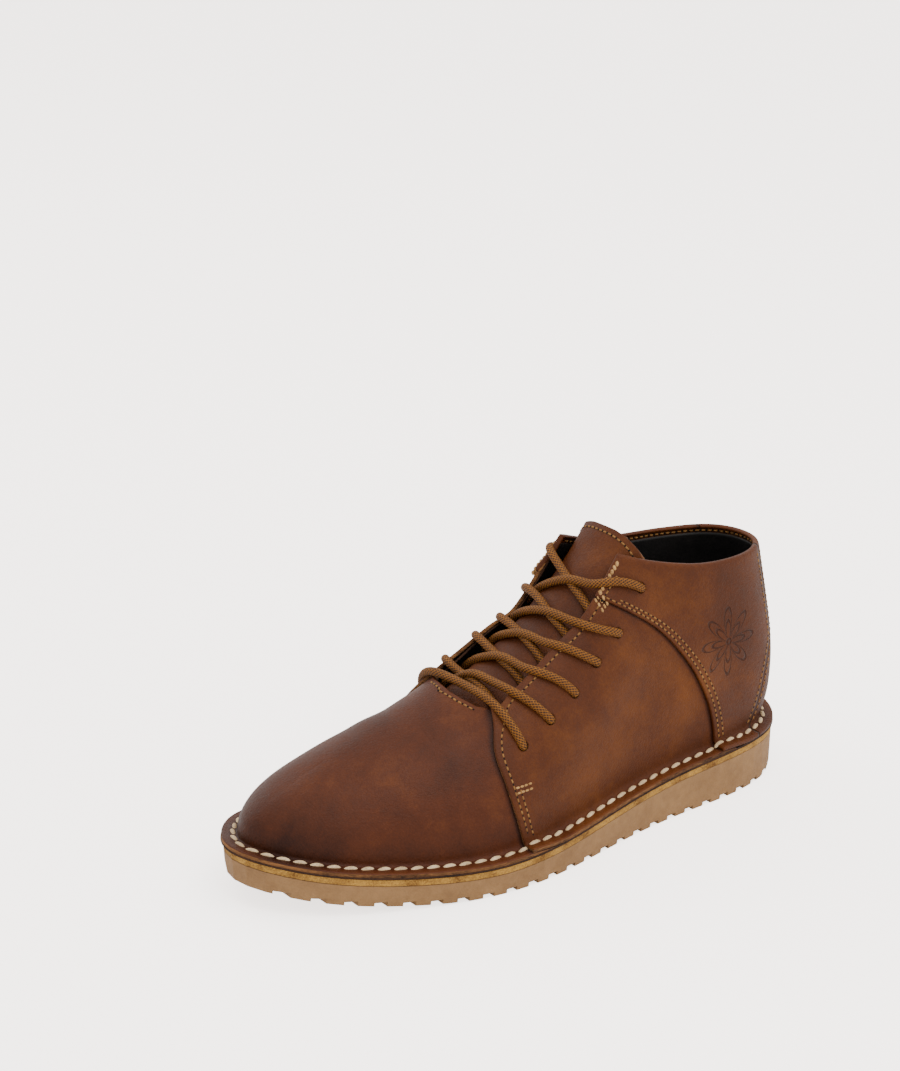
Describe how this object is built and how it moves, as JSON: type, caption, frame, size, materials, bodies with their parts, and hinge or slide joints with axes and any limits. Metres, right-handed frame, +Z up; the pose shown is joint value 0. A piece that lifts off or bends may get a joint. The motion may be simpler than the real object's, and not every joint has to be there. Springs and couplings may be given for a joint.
{
  "type": "chukka boot",
  "caption": "Left chukka boot in brown leather, laced, sewn flat onto a tan rubber wedge sole.",
  "frame": {"origin": "on the floor under the middle of the sole", "axes": "-X towards the toe, -Y towards the outer side of the foot, +Z up"},
  "size_m": [0.299, 0.1086, 0.136],
  "materials": {
    "outsole_rubber": "matt tan rubber",
    "midsole_layer": "matt yellow-tan firm layer",
    "upper_leather": "oiled pull-up leather, soft sheen",
    "sock_lining": "black lining",
    "tongue_leather": "oiled pull-up leather, soft sheen",
    "dark_leather": "dark smooth leather",
    "lace_cord": "round braided cord"
  },
  "bodies": {
    "root": {"outsole": "outsole_rubber", "midsole": "midsole_layer", "upper": "upper_leather", "insole": "sock_lining", "tongue": "tongue_leather", "heel_tab": "dark_leather", "lace_bar": "lace_cord", "lace_crossing_1": "lace_cord", "lace_crossing_2": "lace_cord", "lace_crossing_3": "lace_cord", "lace_crossing_4": "lace_cord", "lace_crossing_5": "lace_cord"}
  },
  "joints": []
}
